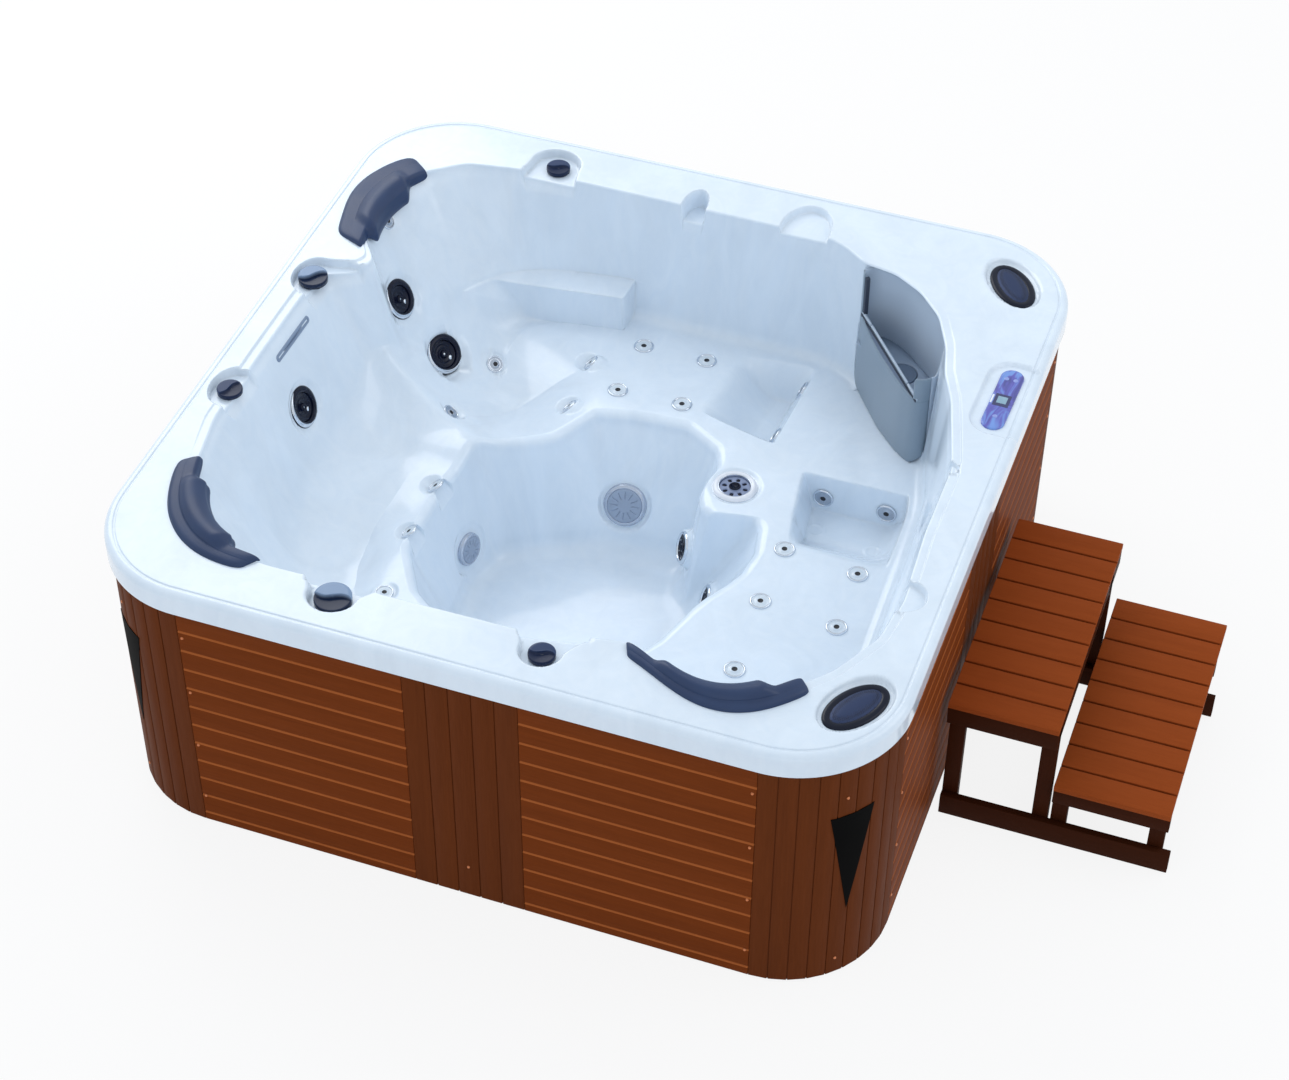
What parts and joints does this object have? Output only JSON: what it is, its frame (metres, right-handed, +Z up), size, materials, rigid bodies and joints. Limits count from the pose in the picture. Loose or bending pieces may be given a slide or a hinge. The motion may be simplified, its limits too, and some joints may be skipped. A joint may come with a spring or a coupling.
{
  "type": "hot tub",
  "caption": "Square outdoor hot tub with a moulded seating shell, slatted cabinet, massage jets, headrests, a corner skimmer and separate wooden steps.",
  "frame": {"origin": "on the ground under the middle of the tub", "axes": "+Z up; +X towards the steps; +Y towards the back, away from the side shown in front"},
  "size_m": [2.857, 2.2, 0.926],
  "materials": {
    "shell_acrylic": "glossy pale acrylic with faint veins",
    "cabinet_board": "satin brown wood-look boards",
    "base_plastic": "moulded black base",
    "frame_wood": "planed softwood",
    "accent_black": "gloss black",
    "screw_steel": "plain steel",
    "pillow_foam": "soft slate blue foam with skin",
    "speaker_black": "dark satin",
    "panel_blue": "glossy blue overlay",
    "display_glass": "pale display window",
    "button_pale": "soft pale pads",
    "knob_grey": "dark slate satin",
    "valve_plastic": "plain moulded",
    "spout_grey": "satin blue grey",
    "skimmer_grey": "satin cool grey",
    "filter_white": "pleated paper",
    "jet_black": "gloss black",
    "jet_chrome": "polished",
    "ring_white": "gloss white",
    "disc_grey": "satin grey",
    "cover_grey": "satin blue grey",
    "pump_grey": "painted",
    "impeller_plastic": "moulded",
    "heater_steel": "plain stainless",
    "box_grey": "moulded",
    "pipe_white": "plain pipe",
    "step_wood": "stained brown wood"
  },
  "bodies": {
    "tub": {"shell": "shell_acrylic", "base_pan": "base_plastic", "frame_posts": "frame_wood", "frame_rails": "frame_wood", "corner_front_right": "cabinet_board", "corner_back_right": "cabinet_board", "corner_back_left": "cabinet_board", "corner_front_left": "cabinet_board", "front_panel_left": "cabinet_board", "front_panel_centre": "cabinet_board", "front_panel_right": "cabinet_board", "right_panel_front": "cabinet_board", "right_panel_centre": "cabinet_board", "right_panel_back": "cabinet_board", "back_panel_right": "cabinet_board", "back_panel_centre": "cabinet_board", "back_panel_left": "cabinet_board", "left_panel_back": "cabinet_board", "left_panel_centre": "cabinet_board", "left_panel_front": "cabinet_board", "corner_accents": "accent_black", "panel_screws": "screw_steel", "pillow_back_left": "pillow_foam", "pillow_front_left": "pillow_foam", "pillow_front_right": "pillow_foam", "speaker_cups": "speaker_black", "control_panel": "panel_blue", "panel_display": "display_glass", "valve_bodies": "valve_plastic", "waterfall_spout": "spout_grey", "skimmer_housing": "skimmer_grey", "large_jet_bodies": "jet_chrome", "small_jets": "jet_chrome", "seat_jets": "jet_chrome", "foot_jet_ring": "ring_white", "footwell_jets": "jet_chrome", "suction_covers": "cover_grey", "pump": "pump_grey", "heater": "heater_steel", "control_box": "box_grey", "plumbing": "pipe_white"},
    "diverter_left": {"diverter_knob_left": "knob_grey"},
    "diverter_front": {"diverter_knob_front": "knob_grey"},
    "air_back": {"air_knob_back": "knob_grey"},
    "air_left": {"air_knob_left": "knob_grey"},
    "air_front": {"air_knob_front": "knob_grey"},
    "face_upper": {"jet_face_upper": "jet_black"},
    "face_lower": {"jet_face_lower": "jet_black"},
    "face_left": {"jet_face_left": "jet_black"},
    "foot_disc": {"foot_jet_disc": "disc_grey"},
    "weir": {"weir_door": "skimmer_grey"},
    "filter": {"filter_cartridge": "filter_white"},
    "sound_back": {"speaker_back": "speaker_black"},
    "sound_front": {"speaker_front": "speaker_black"},
    "key_jets": {"button_jets": "button_pale"},
    "key_light": {"button_light": "button_pale"},
    "key_heat": {"button_heat": "button_pale"},
    "rotor": {"impeller": "impeller_plastic"},
    "steps": {"step_frame": "step_wood", "step_boards": "step_wood"}
  },
  "joints": [
    {"name": "diverter_left_turn", "type": "hinge", "parent": "tub", "child": "diverter_left", "pos_m": [-0.995, 0.226, 0.866], "axis": [0, 0, 1], "range_deg": [-90, 90]},
    {"name": "diverter_front_turn", "type": "hinge", "parent": "tub", "child": "diverter_front", "pos_m": [-0.397, -0.958, 0.866], "axis": [0, 0, 1], "range_deg": [-90, 90]},
    {"name": "air_back_turn", "type": "hinge", "parent": "tub", "child": "air_back", "pos_m": [-0.52, 0.972, 0.866], "axis": [0, 0, 1], "range_deg": [-45, 45]},
    {"name": "air_left_turn", "type": "hinge", "parent": "tub", "child": "air_left", "pos_m": [-1.005, -0.304, 0.866], "axis": [0, 0, 1], "range_deg": [-45, 45]},
    {"name": "air_front_turn", "type": "hinge", "parent": "tub", "child": "air_front", "pos_m": [0.175, -0.956, 0.866], "axis": [0, 0, 1], "range_deg": [-45, 45]},
    {"name": "face_upper_spin", "type": "hinge", "parent": "tub", "child": "face_upper", "pos_m": [-0.8332, 0.45902, 0.66659], "axis": [0.87, -0.0778, 0.4868], "continuous": true},
    {"name": "face_lower_spin", "type": "hinge", "parent": "tub", "child": "face_lower", "pos_m": [-0.70598, 0.47468, 0.4768], "axis": [0.764, -0.2988, 0.5718], "continuous": true},
    {"name": "face_left_spin", "type": "hinge", "parent": "tub", "child": "face_left", "pos_m": [-0.89971, -0.08431, 0.66292], "axis": [0.9236, -0.0176, 0.3829], "continuous": true},
    {"name": "foot_disc_spin", "type": "hinge", "parent": "tub", "child": "foot_disc", "pos_m": [0.299, 0.246, 0.444], "axis": [0, 0, 1], "continuous": true},
    {"name": "weir_swing", "type": "hinge", "parent": "tub", "child": "weir", "pos_m": [0.62362, 0.66272, 0.632], "axis": [-0.718, 0.696, 0], "range_deg": [0, 60]},
    {"name": "filter_lift", "type": "slide", "parent": "tub", "child": "filter", "axis": [0, 0, 1], "range_m": [0, 0.3]},
    {"name": "sound_back_rise", "type": "slide", "parent": "tub", "child": "sound_back", "axis": [0, 0, 1], "range_m": [0, 0.055]},
    {"name": "sound_front_rise", "type": "slide", "parent": "tub", "child": "sound_front", "axis": [0, 0, 1], "range_m": [0, 0.055]},
    {"name": "key_jets_press", "type": "slide", "parent": "tub", "child": "key_jets", "axis": [0, 0, -1], "range_m": [0, 0.001], "stiffness_N_per_m": 300},
    {"name": "key_light_press", "type": "slide", "parent": "tub", "child": "key_light", "axis": [0, 0, -1], "range_m": [0, 0.001], "stiffness_N_per_m": 300},
    {"name": "key_heat_press", "type": "slide", "parent": "tub", "child": "key_heat", "axis": [0, 0, -1], "range_m": [0, 0.001], "stiffness_N_per_m": 300},
    {"name": "rotor_spin", "type": "hinge", "parent": "tub", "child": "rotor", "pos_m": [-0.18, -0.79, 0.118], "axis": [1, 0, 0], "continuous": true},
    {"name": "steps_pull", "type": "slide", "parent": "tub", "child": "steps", "axis": [1, 0, 0], "range_m": [0, 0.5]}
  ]
}
